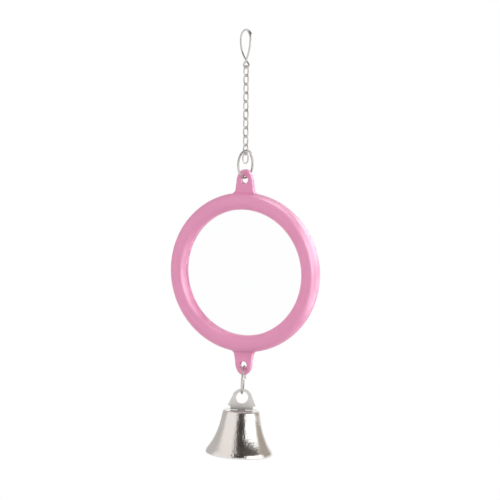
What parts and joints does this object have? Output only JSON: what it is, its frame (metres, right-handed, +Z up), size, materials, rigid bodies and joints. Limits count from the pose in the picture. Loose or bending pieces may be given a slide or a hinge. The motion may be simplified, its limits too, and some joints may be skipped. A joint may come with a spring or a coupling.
{
  "type": "hanging bird mirror",
  "caption": "Round two-sided mirror in a pink plastic rim, hung by a spring clip and fine chain, with a plated bell below, as a toy for a cage bird.",
  "frame": {"origin": "where the cage bar sits, at the inside of the crest of the clip's arch", "axes": "+Z up along the hanging chain, mirror's front faces -Y, +X to the right seen from the front"},
  "size_m": [0.072, 0.0303, 0.1922],
  "materials": {
    "pink_plastic": "moulded, satin gloss",
    "mirror_silver": "polished mirror",
    "nickel_wire": "drawn wire, nickel plated",
    "bell_plating": "pressed sheet, bright nickel plated",
    "clapper_steel": "plain steel"
  },
  "bodies": {
    "clip": {"hanging_clip": "nickel_wire"},
    "gate": {"clip_gate": "nickel_wire"},
    "link_01": {"chain_link_01": "nickel_wire"},
    "link_02": {"chain_link_02": "nickel_wire"},
    "link_03": {"chain_link_03": "nickel_wire"},
    "link_04": {"chain_link_04": "nickel_wire"},
    "link_05": {"chain_link_05": "nickel_wire"},
    "link_06": {"chain_link_06": "nickel_wire"},
    "link_07": {"chain_link_07": "nickel_wire"},
    "link_08": {"chain_link_08": "nickel_wire"},
    "link_09": {"chain_link_09": "nickel_wire"},
    "link_10": {"chain_link_10": "nickel_wire"},
    "tail_link": {"chain_tail_link": "nickel_wire"},
    "upper_ring": {"upper_jump_ring": "nickel_wire"},
    "mirror": {"front_frame": "pink_plastic", "rear_frame": "pink_plastic", "front_mirror": "mirror_silver", "rear_mirror": "mirror_silver"},
    "lower_ring": {"lower_jump_ring": "nickel_wire"},
    "bell": {"bell_shell": "bell_plating", "bell_hanger": "bell_plating"},
    "clapper": {"clapper_wire": "clapper_steel", "clapper_ball": "clapper_steel"}
  },
  "joints": [
    {"name": "gate_spring", "type": "hinge", "parent": "clip", "child": "gate", "pos_m": [-0.00094, -0.00051, -0.01489], "axis": [0.342, 0.9397, 0], "range_deg": [0, 15], "stiffness_Nm_per_rad": 0.02},
    {"name": "link_01_swing", "type": "hinge", "parent": "clip", "child": "link_01", "pos_m": [0, 0, -0.0166], "axis": [-0.9397, 0.342, 0], "range_deg": [-45, 45]},
    {"name": "link_02_swing", "type": "hinge", "parent": "link_01", "child": "link_02", "pos_m": [0, 0, -0.0204], "axis": [-0.342, -0.9397, 0], "range_deg": [-45, 45]},
    {"name": "link_03_swing", "type": "hinge", "parent": "link_02", "child": "link_03", "pos_m": [0, 0, -0.02429], "axis": [0.9397, -0.342, 0], "range_deg": [-45, 45]},
    {"name": "link_04_swing", "type": "hinge", "parent": "link_03", "child": "link_04", "pos_m": [0, 0, -0.02816], "axis": [0.342, 0.9397, 0], "range_deg": [-45, 45]},
    {"name": "link_05_twist", "type": "hinge", "parent": "link_04", "child": "link_05", "pos_m": [0, 0, -0.03204], "axis": [0, 0, 1], "range_deg": [-35, 35]},
    {"name": "link_06_twist", "type": "hinge", "parent": "link_05", "child": "link_06", "pos_m": [0, 0, -0.03592], "axis": [0, 0, 1], "range_deg": [-35, 35]},
    {"name": "link_07_swing", "type": "hinge", "parent": "link_06", "child": "link_07", "pos_m": [0, 0, -0.03981], "axis": [0.9397, -0.342, 0], "range_deg": [-45, 45]},
    {"name": "link_08_swing", "type": "hinge", "parent": "link_07", "child": "link_08", "pos_m": [0, 0, -0.04369], "axis": [0.342, 0.9397, 0], "range_deg": [-45, 45]},
    {"name": "link_09_swing", "type": "hinge", "parent": "link_08", "child": "link_09", "pos_m": [0, 0, -0.04757], "axis": [-0.9397, 0.342, 0], "range_deg": [-45, 45]},
    {"name": "link_10_swing", "type": "hinge", "parent": "link_09", "child": "link_10", "pos_m": [0, 0, -0.05144], "axis": [-0.342, -0.9397, 0], "range_deg": [-45, 45]},
    {"name": "tail_link_swing", "type": "hinge", "parent": "link_10", "child": "tail_link", "pos_m": [0, 0, -0.05532], "axis": [-0.7431, 0.6691, 0], "range_deg": [-20, 20]},
    {"name": "upper_ring_swing", "type": "hinge", "parent": "link_10", "child": "upper_ring", "pos_m": [0, 0, -0.05448], "axis": [-0.9877, 0.1564, 0], "range_deg": [-35, 35]},
    {"name": "mirror_swing", "type": "hinge", "parent": "upper_ring", "child": "mirror", "pos_m": [0, 0, -0.06565], "axis": [0, 1, 0], "range_deg": [-45, 45]},
    {"name": "lower_ring_swing", "type": "hinge", "parent": "mirror", "child": "lower_ring", "pos_m": [0, 0, -0.15069], "axis": [-0.3256, 0.9455, 0], "range_deg": [-60, 60]},
    {"name": "bell_slide_round_ring", "type": "hinge", "parent": "lower_ring", "child": "bell", "pos_m": [-0.00029, -0.0001, -0.15679], "axis": [-0.9443, -0.3251, 0.0506], "range_deg": [-60, 60]},
    {"name": "clapper_swing", "type": "hinge", "parent": "bell", "child": "clapper", "pos_m": [-0.00112, -0.00039, -0.17408], "axis": [-0.4998, 0.8661, 0.0097], "range_deg": [-45, 45]}
  ]
}
